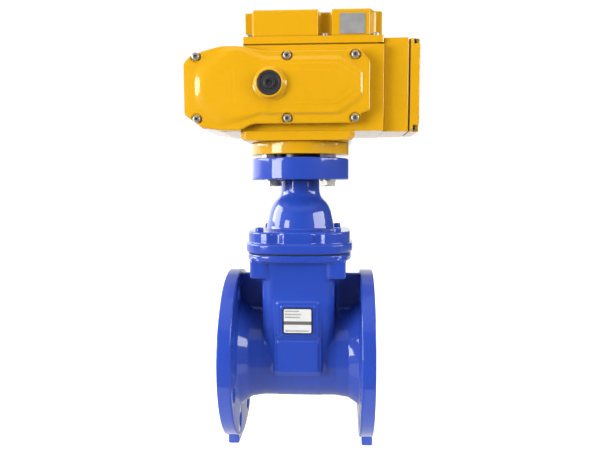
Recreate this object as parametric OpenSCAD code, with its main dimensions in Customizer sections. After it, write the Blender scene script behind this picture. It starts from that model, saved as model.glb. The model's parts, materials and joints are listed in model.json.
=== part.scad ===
// Motorized gate valve: a flanged wedge gate valve with an electric actuator on top.
// Millimetres, +Z up the stem, +X along the pipe, origin where the stem axis meets the pipe axis.
// The gate is drawn raised, so the port is clear.

/* [Port and pipe flanges] */
// Clear bore of the port
port_d = 100; // [90:1:102]
// Length of the body from flange face to flange face
face_to_face = 190; // [186:1:240]
// Outside diameter of each pipe flange
flange_d = 220; // [216:1:240]
// Thickness of a pipe flange behind its raised face
flange_t = 17; // [14:0.5:20]
// Height of the raised face
raised_h = 1; // [0.5:0.5:3]
// Ring left clear between the raised face and the bolt holes
raised_clear = 2.5; // [1:0.5:6]
// Distance from a flange's rim to the pitch circle of its bolts
rim_to_bolts = 20; // [18:0.5:21]
// Number of bolts in a pipe flange
flange_bolts = 8; // [4:4:8]
// Diameter of a flange bolt hole
flange_hole_d = 19; // [14:0.5:20]
// Outside diameter of the pipe between a flange and the gate chamber
tube_d = 114; // [110:1:120]
// How far the hub swells where the pipe meets its flange
hub_swell = 9; // [4:0.5:12]

/* [Feet] */
// Height of a foot below the flange rim
foot_h = 10; // [6:0.5:20]
// Width of a foot across the pipe
foot_w = 50; // [40:1:70]
// Thickness of a foot along the pipe
foot_t = 14; // [8:0.5:17]

/* [Gate chamber] */
// Length of the chamber along the pipe, at its top
chamber_l = 90; // [84:1:96]
// Width of the chamber across the pipe, at its top
chamber_w = 132; // [126:1:136]
// Length of the chamber along the pipe, at its foot
chamber_foot_l = 66; // [56:1:72]
// Wall of the chamber across the pipe
chamber_wall = 9; // [6:0.5:12]
// Length of the body's top flange along the pipe
neck_flange_l = 132; // [128:1:140]
// Width of the body's top flange across the pipe
neck_flange_w = 158; // [152:1:166]
// Thickness of the body's top flange
neck_flange_t = 8.5; // [7:0.5:12]
// Height of the body's top face above the pipe axis
body_top = 136; // [130:1:150]
// Height of the threaded corner bosses under the top flange
corner_boss_h = 21; // [12:1:24]
// Thickness of the ribs between chamber and flanges
rib_t = 12; // [6:0.5:20]

/* [Front panels and data plate] */
// Width of the raised panels on the chamber
panel_w = 52; // [48:1:56]
// Height of the upper panel, which carries the data plate
upper_panel_h = 45; // [42:1:48]
// Height of the lower panel
lower_panel_h = 41; // [36:1:44]
// How far the panels stand out from the chamber
panel_out = 3; // [2:0.5:6]
// Width of the data plate
plate_w = 37; // [30:0.5:38]
// Height of the data plate
plate_h = 33; // [24:0.5:36]
// Thickness of the data plate
plate_t = 0.8; // [0.5:0.1:1.5]

/* [Gate and stem] */
// Thickness of the gate along the pipe
gate_t = 48; // [40:1:52]
// Diameter of the stem
stem_d = 22; // [16:1:24]

/* [Bonnet] */
// Thickness of the gasket under the bonnet
gasket_t = 1.5; // [1:0.1:3]
// Height of the bonnet flange
bonnet_flange_h = 26; // [22:0.5:30]
// Height of the ledge at the foot of the bonnet flange
bonnet_ledge_h = 11.5; // [8:0.5:14]
// Radius of the pockets in the bonnet flange
pocket_r = 8; // [5:0.5:9]
// Spacing of the pockets along the pipe
pocket_spacing = 52; // [46:1:54]
// Diameter of the dome at its foot
dome_d = 89; // [82:1:92]
// Diameter of the neck above the dome
neck_d = 50; // [46:1:54]
// Height of the dome and neck above the bonnet flange
dome_h = 63.5; // [58:0.5:80]
// Thread size of the bonnet screws
bonnet_screw_d = 6; // [5:1:8]
// Spacing of the bonnet screws along the pipe
bonnet_screw_x = 95; // [92:1:98]
// Spacing of the bonnet screws across the pipe
bonnet_screw_y = 112; // [106:1:116]

/* [Actuator mounting] */
// Diameter of the mounting flange
mount_d = 125; // [122:1:130]
// Thickness of the mounting flange
mount_t = 27; // [20:0.5:32]
// Pitch circle of the mounting bolts
mount_pcd = 102; // [98:1:104]
// Thread size of the mounting bolts
mount_bolt_d = 10; // [8:1:12]
// Gap between the mounting flange and the actuator
mount_gap = 4; // [3:0.5:8]
// Diameter of the centring spigot
spigot_d = 70; // [60:1:72]
// Thickness of the actuator's base flange
base_flange_t = 15; // [12:0.5:24]
// Height of the block above the base flange
base_block_h = 11; // [8:0.5:16]
// Length of the base block along the pipe
base_block_l = 136; // [130:1:144]
// Width of the base block across the pipe
base_block_w = 138; // [128:1:144]

/* [Actuator housing] */
// Reach of the housing to the left of the stem
housing_left = 133; // [124:1:140]
// Reach of the housing to the right of the stem
housing_right = 102; // [96:1:110]
// Height of the housing
housing_h = 100; // [94:1:110]
// Front face of the housing, measured forward of the stem
housing_front = 62; // [58:1:70]
// Rear face of the housing, measured behind the stem
housing_back = 46; // [40:1:60]
// Thickness of the front cover's rim
cover_t = 12; // [8:0.5:16]
// Right end of the front cover, measured from the stem
cover_right = 85; // [82:1:88]
// Height of the first raised step on the front cover
step_one_h = 3; // [2:0.5:5]
// Height of the second raised step on the front cover
step_two_h = 2; // [1:0.5:4]
// Thread size of the cover screws
cover_screw_d = 6; // [4:1:6]
// Width of the housing left uncovered round the rear cover's long ends
rear_margin = 16; // [12:0.5:24]
// Thickness of the rear cover
rear_cover_t = 6; // [4:0.5:10]

/* [Hand drive] */
// Diameter of the hand drive boss at its face
boss_d = 33; // [31:0.5:36]
// How far the boss stands out from the cover's steps
boss_out = 8; // [4:0.5:12]
// Diameter of the hand drive plug
plug_d = 28; // [24:0.5:29]
// Size across the flats of the plug's hexagon socket
plug_socket = 6; // [4:0.5:8]

/* [Top box] */
// Length of the top box along the pipe
top_box_l = 168; // [164:1:168]
// Width of the top box across the pipe
top_box_w = 92; // [84:1:98]
// Height of the top box's base
top_base_h = 10; // [8:0.5:14]
// Height of the top box's lid
top_lid_h = 31; // [26:0.5:40]
// Thickness of a box seal
seal_t = 1.5; // [1:0.1:3]
// How far the lid stands back from its base
lid_inset = 1.5; // [1:0.5:4]
// Depth of the notches that hold the lid's screws
notch_depth = 14; // [12:0.5:18]
// Width of the notches at the lid's left end
left_notch_w = 11.5; // [11:0.5:16]
// Width of the notches between the lid's two blocks
middle_notch_w = 16; // [12:0.5:20]
// Width of the notches at the lid's right end
right_notch_w = 15.5; // [12:0.5:18]
// Left end of the middle notches, measured from the lid's left end
middle_notch_at = 89; // [80:0.5:92]
// Width of the label plate on the lid
label_w = 30; // [20:0.5:36]
// Height of the label plate on the lid
label_h = 23.5; // [16:0.5:24]

/* [Terminal box] */
// Length of the terminal box along the pipe
terminal_l = 30.5; // [24:0.5:40]
// Height of the terminal box
terminal_h = 109.5; // [100:0.5:112]
// Width of the terminal box across the pipe
terminal_w = 88; // [80:1:94]
// Thickness of the terminal box's end cover
terminal_cover_t = 11.5; // [10:0.5:18]
// Thread size of the end cover's screws
terminal_screw_d = 4; // [3:1:5]

/* [Hidden] */

$fn = 72;
blue = "royalblue";
yellow = "goldenrod";
steel = "silver";
clearance = 0.5;       // running clearance round a bolt or the stem
thread_gap = 0.1;      // gap between a screw's shank and its threaded hole
skin = 0.02;           // thickness of the slices that a hull is drawn through
over = 1;              // how far a cut runs past the face it leaves

// Pipe flanges
flange_pcd = flange_d - 2 * rim_to_bolts;
raised_d = flange_pcd - flange_hole_d - 2 * raised_clear;

// Levels up the stem
z_foot = -flange_d / 2 - foot_h;
z_bonnet = body_top + gasket_t;
z_bonnet_top = z_bonnet + bonnet_flange_h;
z_mount = z_bonnet_top + dome_h;
z_mount_top = z_mount + mount_t;
z_base = z_mount_top + mount_gap;
z_block = z_base + base_flange_t;
z_housing = z_block + base_block_h;
z_housing_top = z_housing + housing_h;
z_top_base = z_housing_top + seal_t;
z_lid = z_top_base + top_base_h;
z_middle = z_housing + 0.53 * housing_h;

// Gate
gate_r = port_d / 2 + 1;
gate_lift = port_d + 4.5;
cavity_l = gate_t + 6;
cavity_w = chamber_w - 2 * chamber_wall;
seat_groove = 3;
stem_foot = gate_lift + gate_r + 12;
stem_end = z_block - 6;

chamber_square_z = 76; // above this level the chamber keeps its full size

// Front panels, the upper one with a pad for the data plate
panel_split = 32;
plate_z = panel_split + 1 + upper_panel_h / 2;
pad_t = 1.5;
pad_border = 2.5;

// Screws and bolts
screw_head = 1.65;     // a socket head's diameter, in thread sizes
hex_flats = 1.7;       // a hexagon head's size across its flats, in thread sizes
mount_bolt_head_h = 6;
washer_t = 1.6;
bonnet_screw_reach = 18;

// Front cover
y_cover = -housing_front - cover_t;
y_step_one = y_cover - step_one_h;
y_step_two = y_step_one - step_two_h;
cover_low = z_housing + 8;
cover_high = z_housing_top - 9;
cover_screw_inset = 5.7;
cover_screw_xs = [-housing_left + 15, -11, cover_right - 17];
plug_x = -31;
shoulder_x = -64;      // where the housing's low left end rises to its full height
cover_bend_x = -40;    // where the cover's wide left end narrows to its long side

// Rear cover
rear_margin_z = rear_margin - 4;
rear_screw_in = 28;
rear_screw_in_z = 9;
rear_corner = 18;

// Top box, flush with the housing's right end
top_box_x0 = housing_right - top_box_l;
top_box_y0 = -housing_front + 6;
top_box_y1 = top_box_y0 + top_box_w;
lid_x0 = top_box_x0 + lid_inset;
lid_x1 = housing_right - lid_inset;
lid_y0 = top_box_y0 + lid_inset;
lid_y1 = top_box_y1 - lid_inset;
lid_top = z_lid + top_lid_h;
seal_inset = 1.5;
lid_screw_d = 5;
lid_screw_in = 6;
label_right_gap = 5;
label_low_gap = 2;
notch_starts = [lid_x0, lid_x0 + middle_notch_at, lid_x1 - right_notch_w];
notch_ws = [left_notch_w, middle_notch_w, right_notch_w];

// Terminal box, on the housing's right end
terminal_x1 = housing_right + terminal_l;
terminal_y0 = -housing_front + 12;
terminal_y1 = terminal_y0 + terminal_w;
terminal_top = z_housing + terminal_h;
terminal_screw_inset = terminal_screw_d; // the pockets open onto the cover's sides
terminal_rim_t = 4;

// A rounded oblong of half sizes a and b; n sets how square its corners are
function oblong(a, b, n, steps = 64) = [for (i = [0 : steps - 1])
    let (t = 360 * i / steps, c = cos(t), s = sin(t))
    [a * sign(c) * pow(abs(c), 2 / n), b * sign(s) * pow(abs(s), 2 / n)]];

// A rectangle from (x0, y0) to (x1, y1) with its corners cut off by cx along and cy up
function octagon(x0, x1, y0, y1, cx, cy) = [[x0, y0 + cy], [x0 + cx, y0], [x1 - cx, y0], [x1, y0 + cy],
    [x1, y1 - cy], [x1 - cx, y1], [x0 + cx, y1], [x0, y1 - cy]];

module prism_up(points, z0, z1) {
    translate([0, 0, z0])
        linear_extrude(z1 - z0)
            polygon(points);
}

// A plate drawn in X and Z, reaching from y0 to y1
module prism_back(points, y0, y1) {
    translate([0, y1, 0])
        rotate([90, 0, 0])
            linear_extrude(y1 - y0)
                polygon(points);
}

module bar_x(r, x0, x1) {
    translate([x0, 0, 0])
        rotate([0, 90, 0])
            cylinder(r = r, h = x1 - x0);
}

module block(x0, x1, y0, y1, z0, z1) {
    translate([x0, y0, z0])
        cube([x1 - x0, y1 - y0, z1 - z0]);
}

// Copies at the four corners of a rectangle
module at_corners(dx, dy) {
    for (sx = [-1, 1], sy = [-1, 1])
        translate([sx * dx / 2, sy * dy / 2, 0])
            children();
}

// Copies round the mounting pitch circle
module at_mount_bolts() {
    for (a = [45 : 90 : 315])
        rotate([0, 0, a])
            translate([mount_pcd / 2, 0, 0])
                children();
}

// A socket head screw that stands on z = 0 and reaches down
module socket_screw(d, reach) {
    head_h = d;
    difference() {
        union() {
            cylinder(d = d * screw_head, h = head_h);
            translate([0, 0, -reach])
                cylinder(d = d, h = reach + skin);
        }
        translate([0, 0, head_h / 2])
            cylinder(d = d, h = head_h, $fn = 6);
    }
}

module pipe_flange() {
    rim = face_to_face / 2 - raised_h;
    difference() {
        union() {
            bar_x(flange_d / 2, rim - flange_t, rim);
            bar_x(raised_d / 2, rim - over, face_to_face / 2);
            translate([rim - flange_t - hub_swell, 0, 0])
                rotate([0, 90, 0])
                    cylinder(r1 = tube_d / 2 - 0.5, r2 = tube_d / 2 + hub_swell, h = hub_swell + over);
            block(face_to_face / 2 - foot_t, face_to_face / 2, -foot_w / 2, foot_w / 2,
                z_foot, -flange_d / 2 + 9);
            block(chamber_foot_l / 2, rim - over, -rib_t / 2, rib_t / 2, tube_d / 2 - 6, flange_d / 2 - 4);
        }
        for (i = [0 : flange_bolts - 1])
            rotate([360 * (i + 0.5) / flange_bolts, 0, 0])
                translate([0, 0, flange_pcd / 2])
                    bar_x(flange_hole_d / 2, rim - flange_t - over, rim + over);
    }
}

// The chamber narrows from its top to the pipe
module chamber_form() {
    low_w = chamber_w - 11;
    swell = 0.4;
    hull() {
        prism_up(oblong(chamber_l / 2, chamber_w / 2, 4, 48), chamber_square_z, body_top - neck_flange_t);
        prism_up(oblong(chamber_foot_l / 2 + 1, low_w / 2, 4, 48), -18, -8);
        bar_x(tube_d / 2 + swell, -chamber_foot_l / 2 + 2, chamber_foot_l / 2 - 2);
    }
}

// A bevelled panel on the chamber's front
module chamber_panel(low, high) {
    bevel = 4;
    face = chamber_w / 2 + panel_out;
    hull() {
        block(-panel_w / 2, panel_w / 2, -face, -face + skin, low, high);
        block(-panel_w / 2 - bevel, panel_w / 2 + bevel, -tube_d / 2 + 4, -tube_d / 2 + 5,
            low - bevel, high + bevel);
    }
}

module front_panels() {
    chamber_panel(panel_split + 2, panel_split + 2 + upper_panel_h);
    chamber_panel(panel_split - 2 - lower_panel_h, panel_split - 2);
}

module chamber_cavity() {
    prism_up(oblong(cavity_l / 2, cavity_w / 2, 5, 48), 0, body_top + over);
    bar_x(port_d / 2 + seat_groove, -cavity_l / 2 + 4, cavity_l / 2 - 4);
}

module valve_body() {
    under = body_top - neck_flange_t;
    color(blue)
    difference() {
        union() {
            pipe_flange();
            mirror([1, 0, 0])
                pipe_flange();
            bar_x(tube_d / 2, -face_to_face / 2 + flange_t, face_to_face / 2 - flange_t);
            chamber_form();
            prism_up(oblong(neck_flange_l / 2, neck_flange_w / 2, 3.2), under, body_top);
            at_corners(bonnet_screw_x, bonnet_screw_y)
                block(-11, 11, -12, 12, under - corner_boss_h, under + 1);
            front_panels();
            rotate([0, 0, 180])
                front_panels();
            block(-plate_w / 2 - pad_border, plate_w / 2 + pad_border,
                -chamber_w / 2 - panel_out - pad_t, -chamber_w / 2, plate_z - plate_h / 2 - pad_border,
                plate_z + plate_h / 2 + pad_border);
        }
        bar_x(port_d / 2, -face_to_face / 2 - over, face_to_face / 2 + over);
        chamber_cavity();
        at_corners(bonnet_screw_x, bonnet_screw_y)
            translate([0, 0, body_top - bonnet_screw_reach])
                cylinder(d = bonnet_screw_d + 2 * thread_gap, h = bonnet_screw_reach + over);
    }
}

module data_plate() {
    face = chamber_w / 2 + panel_out + pad_t;
    color("whitesmoke")
    block(-plate_w / 2, plate_w / 2, -face - plate_t, -face, plate_z - plate_h / 2, plate_z + plate_h / 2);
}

module gate_wedge() {
    color("dimgray")
    translate([0, 0, gate_lift])
        difference() {
            union() {
                bar_x(gate_r, -gate_t / 2, gate_t / 2);
                cylinder(d = stem_d + 12, h = stem_foot - gate_lift);
            }
            for (side = [-1, 1])
                translate([side * gate_t / 2, 0, 0])
                    bar_x(gate_r - 14, -4, 4);
        }
}

module stem() {
    color(steel)
    translate([0, 0, stem_foot])
        cylinder(d = stem_d, h = stem_end - stem_foot);
}

module bonnet_gasket() {
    color("black")
    difference() {
        prism_up(oblong(neck_flange_l / 2 - 1, neck_flange_w / 2 - 1, 3.2), body_top, z_bonnet);
        prism_up(oblong(cavity_l / 2 + 2, cavity_w / 2 + 2, 5, 48), body_top - over, z_bonnet + over);
        at_corners(bonnet_screw_x, bonnet_screw_y)
            translate([0, 0, body_top - over])
                cylinder(d = bonnet_screw_d + clearance, h = gasket_t + 2 * over);
    }
}

// Half profile of the dome and neck: a crowned wall, a round shoulder and a concave throat
module dome_profile() {
    r = dome_d / 2;
    n = neck_d / 2;
    wall_in = 4.5;
    wall_h = 0.4 * dome_h;
    throat_h = 0.73 * dome_h;
    turn_r = (r - wall_in - n) * 0.36;
    shoulder_h = 0.56 * (throat_h - wall_h);
    edge = 3;
    polygon(concat(
        [[0, -over], [r, -over]],
        [for (t = [0 : 0.2 : 0.8]) [r - wall_in * t * t, wall_h * t]],
        [for (a = [0 : 15 : 75]) [n + turn_r + (r - wall_in - n - turn_r) * cos(a),
            wall_h + shoulder_h * sin(a)]],
        [for (a = [15 : 15 : 90]) [n + turn_r * (1 - sin(a)),
            throat_h - (throat_h - wall_h - shoulder_h) * cos(a)]],
        [for (a = [0 : 30 : 90]) [n - edge * (1 - cos(a)), dome_h - edge * (1 - sin(a))]],
        [[0, dome_h]]));
}

module bonnet() {
    lower = z_bonnet + bonnet_ledge_h;
    dome_wall = 8;
    color(blue)
    difference() {
        union() {
            prism_up(oblong(neck_flange_l / 2 + 2, neck_flange_w / 2 + 1, 3.2), z_bonnet, lower);
            difference() {
                prism_up(oblong(neck_flange_l / 2 - 1, neck_flange_w / 2 - 2, 3.4), lower - over,
                    z_bonnet_top);
                at_corners(pocket_spacing, neck_flange_w)
                    translate([0, 0, lower])
                        cylinder(r = pocket_r, h = bonnet_flange_h);
            }
            translate([0, 0, z_bonnet_top])
                rotate_extrude()
                    dome_profile();
        }
        prism_up(oblong(cavity_l / 2, cavity_w / 2, 5, 48), z_bonnet - over, z_bonnet_top - 7);
        translate([0, 0, z_bonnet_top - 7 - over])
            cylinder(r = dome_d / 2 - dome_wall, h = 7 + over + 0.42 * dome_h);
        cylinder(d = stem_d + clearance, h = z_mount + over);
        at_corners(bonnet_screw_x, bonnet_screw_y)
            translate([0, 0, z_bonnet - over])
                cylinder(d = bonnet_screw_d + clearance, h = bonnet_flange_h + 2 * over);
    }
}

module bonnet_screws() {
    color(steel)
    at_corners(bonnet_screw_x, bonnet_screw_y)
        translate([0, 0, z_bonnet_top])
            socket_screw(bonnet_screw_d, bonnet_flange_h + gasket_t + bonnet_screw_reach - 2);
}

module mounting_flange() {
    color(blue)
    difference() {
        translate([0, 0, z_mount])
            cylinder(d = mount_d, h = mount_t);
        translate([0, 0, z_mount_top - 3])
            cylinder(d = spigot_d + clearance, h = 3 + over);
        translate([0, 0, z_mount - over])
            cylinder(d = stem_d + clearance, h = mount_t + 2 * over);
        at_mount_bolts()
            translate([0, 0, z_mount - over])
                cylinder(d = mount_bolt_d + clearance, h = mount_t + 2 * over);
    }
}

module mounting_bolts() {
    flats = mount_bolt_d * hex_flats;
    head_top = z_mount - washer_t;
    color(steel)
    at_mount_bolts() {
        translate([0, 0, head_top - mount_bolt_head_h])
            cylinder(d = flats / cos(30), h = mount_bolt_head_h, $fn = 6);
        translate([0, 0, head_top - skin])
            cylinder(d = mount_bolt_d, h = z_block - 3 - head_top);
    }
}

module bolt_washers() {
    color(steel)
    at_mount_bolts()
        translate([0, 0, z_mount - washer_t])
            difference() {
                cylinder(d = mount_bolt_d * 1.9, h = washer_t);
                translate([0, 0, -over])
                    cylinder(d = mount_bolt_d + clearance, h = washer_t + 2 * over);
            }
}

module spacer_nuts() {
    color(steel)
    at_mount_bolts()
        translate([0, 0, z_mount_top])
            difference() {
                cylinder(d = mount_bolt_d * hex_flats / cos(30), h = mount_gap, $fn = 6);
                translate([0, 0, -over])
                    cylinder(d = mount_bolt_d + 2 * thread_gap, h = mount_gap + 2 * over);
            }
}

module centring_spigot() {
    color("dimgray")
    translate([0, 0, z_mount_top - 3])
        difference() {
            cylinder(d = spigot_d, h = mount_gap + 3);
            translate([0, 0, -over])
                cylinder(d = stem_d + clearance, h = mount_gap + 3 + 2 * over);
        }
}

module base_flange() {
    color(yellow)
    difference() {
        translate([0, 0, z_base])
            cylinder(d = mount_d, h = base_flange_t);
        translate([0, 0, z_base - over])
            cylinder(d = stem_d + clearance, h = stem_end - z_base + 2 * over);
        at_mount_bolts()
            translate([0, 0, z_base - over])
                cylinder(d = mount_bolt_d + 2 * thread_gap, h = base_flange_t - 2 + over);
    }
}

module base_block() {
    l = base_block_l / 2;
    w = base_block_w / 2;
    corner = 6;
    taper = 4;
    color(yellow)
    hull() {
        prism_up(octagon(-l, l, -w, w, corner, corner), z_block + taper, z_housing);
        prism_up(octagon(-l + taper, l - taper, -w, w, corner, corner), z_block, z_block + skin);
    }
}

// Outline of the housing's left end, shared by the housing and its front cover
function left_end() = [[-housing_left + 45, z_housing], [-housing_left + 19, z_housing + 4],
    [-housing_left + 6, z_housing + 14], [-housing_left, z_housing + 18],
    [-housing_left, z_housing_top - 22], [-housing_left + 10, z_housing_top - 12],
    [-housing_left + 44, z_housing_top - 3], [shoulder_x - 2, z_housing_top - 3]];

module gearbox_housing() {
    color(yellow)
    prism_back(concat(left_end(), [[shoulder_x, z_housing_top], [housing_right, z_housing_top],
        [housing_right, z_housing]]), -housing_front, housing_back);
}

// Screws sit near the upper and lower edges of the front cover
module at_cover_screws() {
    for (x = cover_screw_xs, z = [cover_low + cover_screw_inset, cover_high - cover_screw_inset])
        translate([x, y_cover, z])
            rotate([90, 0, 0])
                children();
}

module cover_step(inset, y0, h) {
    lean = 6;
    x0 = -housing_left + 12 + inset;
    x1 = cover_right - 8.5 - inset;
    z0 = cover_low + 10 + inset;
    z1 = cover_high - 9 - inset;
    hull() {
        prism_back(octagon(x0, x1, z0, z1, 24, 17), y0 - skin, y0);
        prism_back(octagon(x0 + lean, x1 - lean, z0 + lean, z1 - lean, 22, 15), y0 - h, y0 - h + skin);
    }
}

module front_cover() {
    outline = concat(left_end(), [[cover_bend_x, cover_high], [cover_right - 12, cover_high],
        [cover_right, cover_high - 12], [cover_right, cover_low + 12], [cover_right - 23, cover_low + 6],
        [cover_right - 29, cover_low], [cover_bend_x, cover_low], [shoulder_x, z_housing]]);
    color(yellow)
    difference() {
        union() {
            prism_back(outline, y_cover, -housing_front);
            cover_step(0, y_cover, step_one_h);
            cover_step(9, y_step_one, step_two_h);
        }
        at_cover_screws() {
            cylinder(d = cover_screw_d * 2.3, h = 20);
            translate([0, 0, -cover_t - over])
                cylinder(d = cover_screw_d + clearance, h = cover_t + 2 * over);
        }
    }
}

module front_cover_screws() {
    color(steel)
    at_cover_screws()
        socket_screw(cover_screw_d, cover_t);
}

module hand_drive_boss() {
    color(yellow)
    translate([plug_x, y_step_two, z_middle])
        rotate([90, 0, 0])
            difference() {
                cylinder(d1 = boss_d + 7, d2 = boss_d, h = boss_out);
                translate([0, 0, boss_out / 2])
                    cylinder(d = plug_d + clearance, h = boss_out);
            }
}

module hand_drive_plug() {
    color("black")
    translate([plug_x, y_step_two - boss_out / 2, z_middle])
        rotate([90, 0, 0])
            difference() {
                union() {
                    cylinder(d = plug_d, h = boss_out / 2);
                    cylinder(d = plug_d * 0.36, h = boss_out / 2 + 1);
                }
                translate([0, 0, 1])
                    cylinder(d = plug_socket / cos(30), h = boss_out, $fn = 6);
            }
}

module rear_cover() {
    color(yellow)
    difference() {
        prism_back(octagon(-housing_left + rear_margin, housing_right - rear_margin,
            z_housing + rear_margin_z, z_housing_top - rear_margin_z, rear_corner, rear_corner),
            housing_back, housing_back + rear_cover_t);
        at_rear_screws()
            translate([0, 0, -rear_cover_t - over])
                cylinder(d = cover_screw_d + clearance, h = rear_cover_t + 2 * over);
    }
}

module at_rear_screws() {
    in_x = rear_margin + rear_screw_in;
    in_z = rear_margin_z + rear_screw_in_z;
    for (x = [-housing_left + in_x, housing_right - in_x], z = [z_housing + in_z, z_housing_top - in_z])
        translate([x, housing_back + rear_cover_t, z])
            rotate([-90, 0, 0])
                children();
}

module rear_cover_screws() {
    color(steel)
    at_rear_screws()
        socket_screw(cover_screw_d, rear_cover_t);
}

module top_box_seal() {
    color("saddlebrown")
    block(top_box_x0 + seal_inset, housing_right - seal_inset, top_box_y0 + seal_inset,
        top_box_y1 - seal_inset, z_housing_top, z_top_base);
}

module top_box_base() {
    color(yellow)
    block(top_box_x0, housing_right, top_box_y0, top_box_y1, z_top_base, z_lid);
}

// The notches in the lid's long sides, each with a screw on its floor
module lid_notches() {
    for (i = [0 : 2])
        for (y = [lid_y0 - over, lid_y1 - notch_depth])
            translate([notch_starts[i], y, z_lid - over])
                translate([i == 0 ? -over : 0, 0, 0])
                    cube([notch_ws[i] + (i == 1 ? 0 : over), notch_depth + over, top_lid_h + 2 * over]);
}

module top_box_lid() {
    color(yellow)
    difference() {
        block(lid_x0, lid_x1, lid_y0, lid_y1, z_lid, lid_top);
        lid_notches();
    }
}

module top_box_screws() {
    color(steel)
    for (i = [0 : 2], y = [lid_y0 + lid_screw_in, lid_y1 - lid_screw_in])
        translate([notch_starts[i] + notch_ws[i] / 2, y, z_lid])
            cylinder(d = lid_screw_d * screw_head, h = 0.8 * lid_screw_d);
}

module top_box_plate() {
    x1 = lid_x1 - right_notch_w - label_right_gap;
    low = z_lid + label_low_gap;
    color("darkgray")
    block(x1 - label_w, x1, lid_y0 - plate_t, lid_y0, low, low + label_h);
}

module terminal_box() {
    color(yellow)
    block(housing_right, terminal_x1, terminal_y0, terminal_y1, z_housing, terminal_top);
}

module terminal_seal() {
    color("black")
    block(terminal_x1, terminal_x1 + seal_t, terminal_y0 + seal_inset, terminal_y1 - seal_inset,
        z_housing + seal_inset, terminal_top - seal_inset);
}

module at_terminal_screws() {
    in = terminal_screw_inset;
    for (y = [terminal_y0 + in, terminal_y1 - in], z = [z_housing + in, terminal_top - in])
        translate([terminal_x1 + seal_t + terminal_rim_t, y, z])
            rotate([0, 90, 0])
                children();
}

module terminal_cover() {
    x0 = terminal_x1 + seal_t;
    bevel = 3;
    color(yellow)
    difference() {
        hull() {
            block(x0, x0 + terminal_rim_t, terminal_y0, terminal_y1, z_housing, terminal_top);
            block(x0 + terminal_rim_t, x0 + terminal_cover_t, terminal_y0 + bevel, terminal_y1 - bevel,
                z_housing + bevel, terminal_top - bevel);
        }
        at_terminal_screws() {
            cylinder(d = terminal_screw_d * 2.4, h = 20);
            translate([0, 0, -terminal_rim_t - over])
                cylinder(d = terminal_screw_d + clearance, h = terminal_rim_t + 2 * over);
        }
    }
}

module terminal_cover_screws() {
    color("dimgray")
    at_terminal_screws()
        socket_screw(terminal_screw_d, terminal_rim_t);
}

valve_body();
gate_wedge();
stem();
bonnet_gasket();
bonnet();
bonnet_screws();
mounting_flange();
mounting_bolts();
bolt_washers();
spacer_nuts();
centring_spigot();
base_flange();
base_block();
gearbox_housing();
front_cover();
front_cover_screws();
hand_drive_boss();
hand_drive_plug();
rear_cover();
rear_cover_screws();
top_box_seal();
top_box_base();
top_box_lid();
top_box_screws();
top_box_plate();
terminal_box();
terminal_seal();
terminal_cover();
terminal_cover_screws();
data_plate();
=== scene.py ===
"""Looks of the motorized gate valve: its castings, its actuator, their finishes, the light and the camera.

Shapes are worked out in millimetres, in the model's frame, and turn into metres when a mesh is made.
"""
import json
import math

import bmesh
import bpy
import numpy as np
from mathutils import Matrix, Vector


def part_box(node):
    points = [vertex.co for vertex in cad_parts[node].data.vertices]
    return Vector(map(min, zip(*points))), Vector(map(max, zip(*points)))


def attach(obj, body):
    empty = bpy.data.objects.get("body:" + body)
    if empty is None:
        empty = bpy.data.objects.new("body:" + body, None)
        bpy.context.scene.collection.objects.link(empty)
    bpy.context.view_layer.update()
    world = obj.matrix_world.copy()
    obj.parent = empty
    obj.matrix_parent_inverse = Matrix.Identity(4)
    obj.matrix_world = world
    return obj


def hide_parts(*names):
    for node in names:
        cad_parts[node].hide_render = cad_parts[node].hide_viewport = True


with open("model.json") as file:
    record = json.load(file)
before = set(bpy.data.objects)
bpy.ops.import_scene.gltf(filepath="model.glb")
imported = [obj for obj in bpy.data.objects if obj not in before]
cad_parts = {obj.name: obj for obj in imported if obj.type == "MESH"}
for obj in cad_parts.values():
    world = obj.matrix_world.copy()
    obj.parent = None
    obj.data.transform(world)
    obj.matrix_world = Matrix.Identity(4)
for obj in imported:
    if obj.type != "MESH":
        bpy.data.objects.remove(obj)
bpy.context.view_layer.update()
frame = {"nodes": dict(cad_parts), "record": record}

MM = 0.001
BODY = "root"
# Steps of a rounded corner, and the angle from which an edge of a cast piece stays crisp
ARC_STEPS = 6
CAST_ANGLE = 50
SLOTS = {part["node"]: part["material_slot"] for part in frame["record"]["subparts"]}


def span(node):
    """Lowest and highest corner of a CAD node, in millimetres."""
    low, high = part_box(node)
    return Vector(low) / MM, Vector(high) / MM


# ---------------------------------------------------------------- sizes taken from the frame

VALVE_LOW, VALVE_HIGH = span("valve_body")
BONNET_LOW, BONNET_HIGH = span("bonnet")
PLATE_LOW, PLATE_HIGH = span("data_plate")

# Pipe, its flanges and their feet
FACE_X = VALVE_HIGH.x
FLANGE_R = VALVE_HIGH.y
PORT_R = 50.0
TUBE_R = 57.0
RAISED_R = 78.0
RAISED_H = 1.0
FLANGE_T = 17.0
HOLE_R = 9.5
HOLE_CIRCLE_R = 90.0
FLANGE_HOLES = 8
FOOT_W = 50.0
FOOT_T = 14.0

# The gate's chamber: half length and half width at its foot, and how much they grow towards the neck
CHAMBER_FOOT = -8
CHAMBER_X = 33
CHAMBER_Y = 60.5
CHAMBER_GROWS_X = 12
CHAMBER_GROWS_Y = 5.5
# How far forward the raised panels reach: their plinths, the panels, and the data plate's pad
PLINTH_Y = 66.6
PANEL_Y = 69
PAD_Y = 70.5

# Neck, ledge and bonnet flange: heights, and half length, half width and squareness of each outline
BODY_TOP = VALVE_HIGH.z
UNDER_NECK = BODY_TOP - 8.5
LEDGE_TOP = BONNET_LOW.z + 11.5
BONNET_FLANGE_TOP = BONNET_LOW.z + 26.0
NECK = (66, 79, 3.2)
LEDGE = (68, 80, 3.2)
BONNET_FLANGE = (65, 77, 3.4)
SCREW_X = 47.5
SCREW_Y = 56.0
POCKET_X = 26
POCKET_Y = 79
STEM_HOLE_R = 11.25


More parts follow.
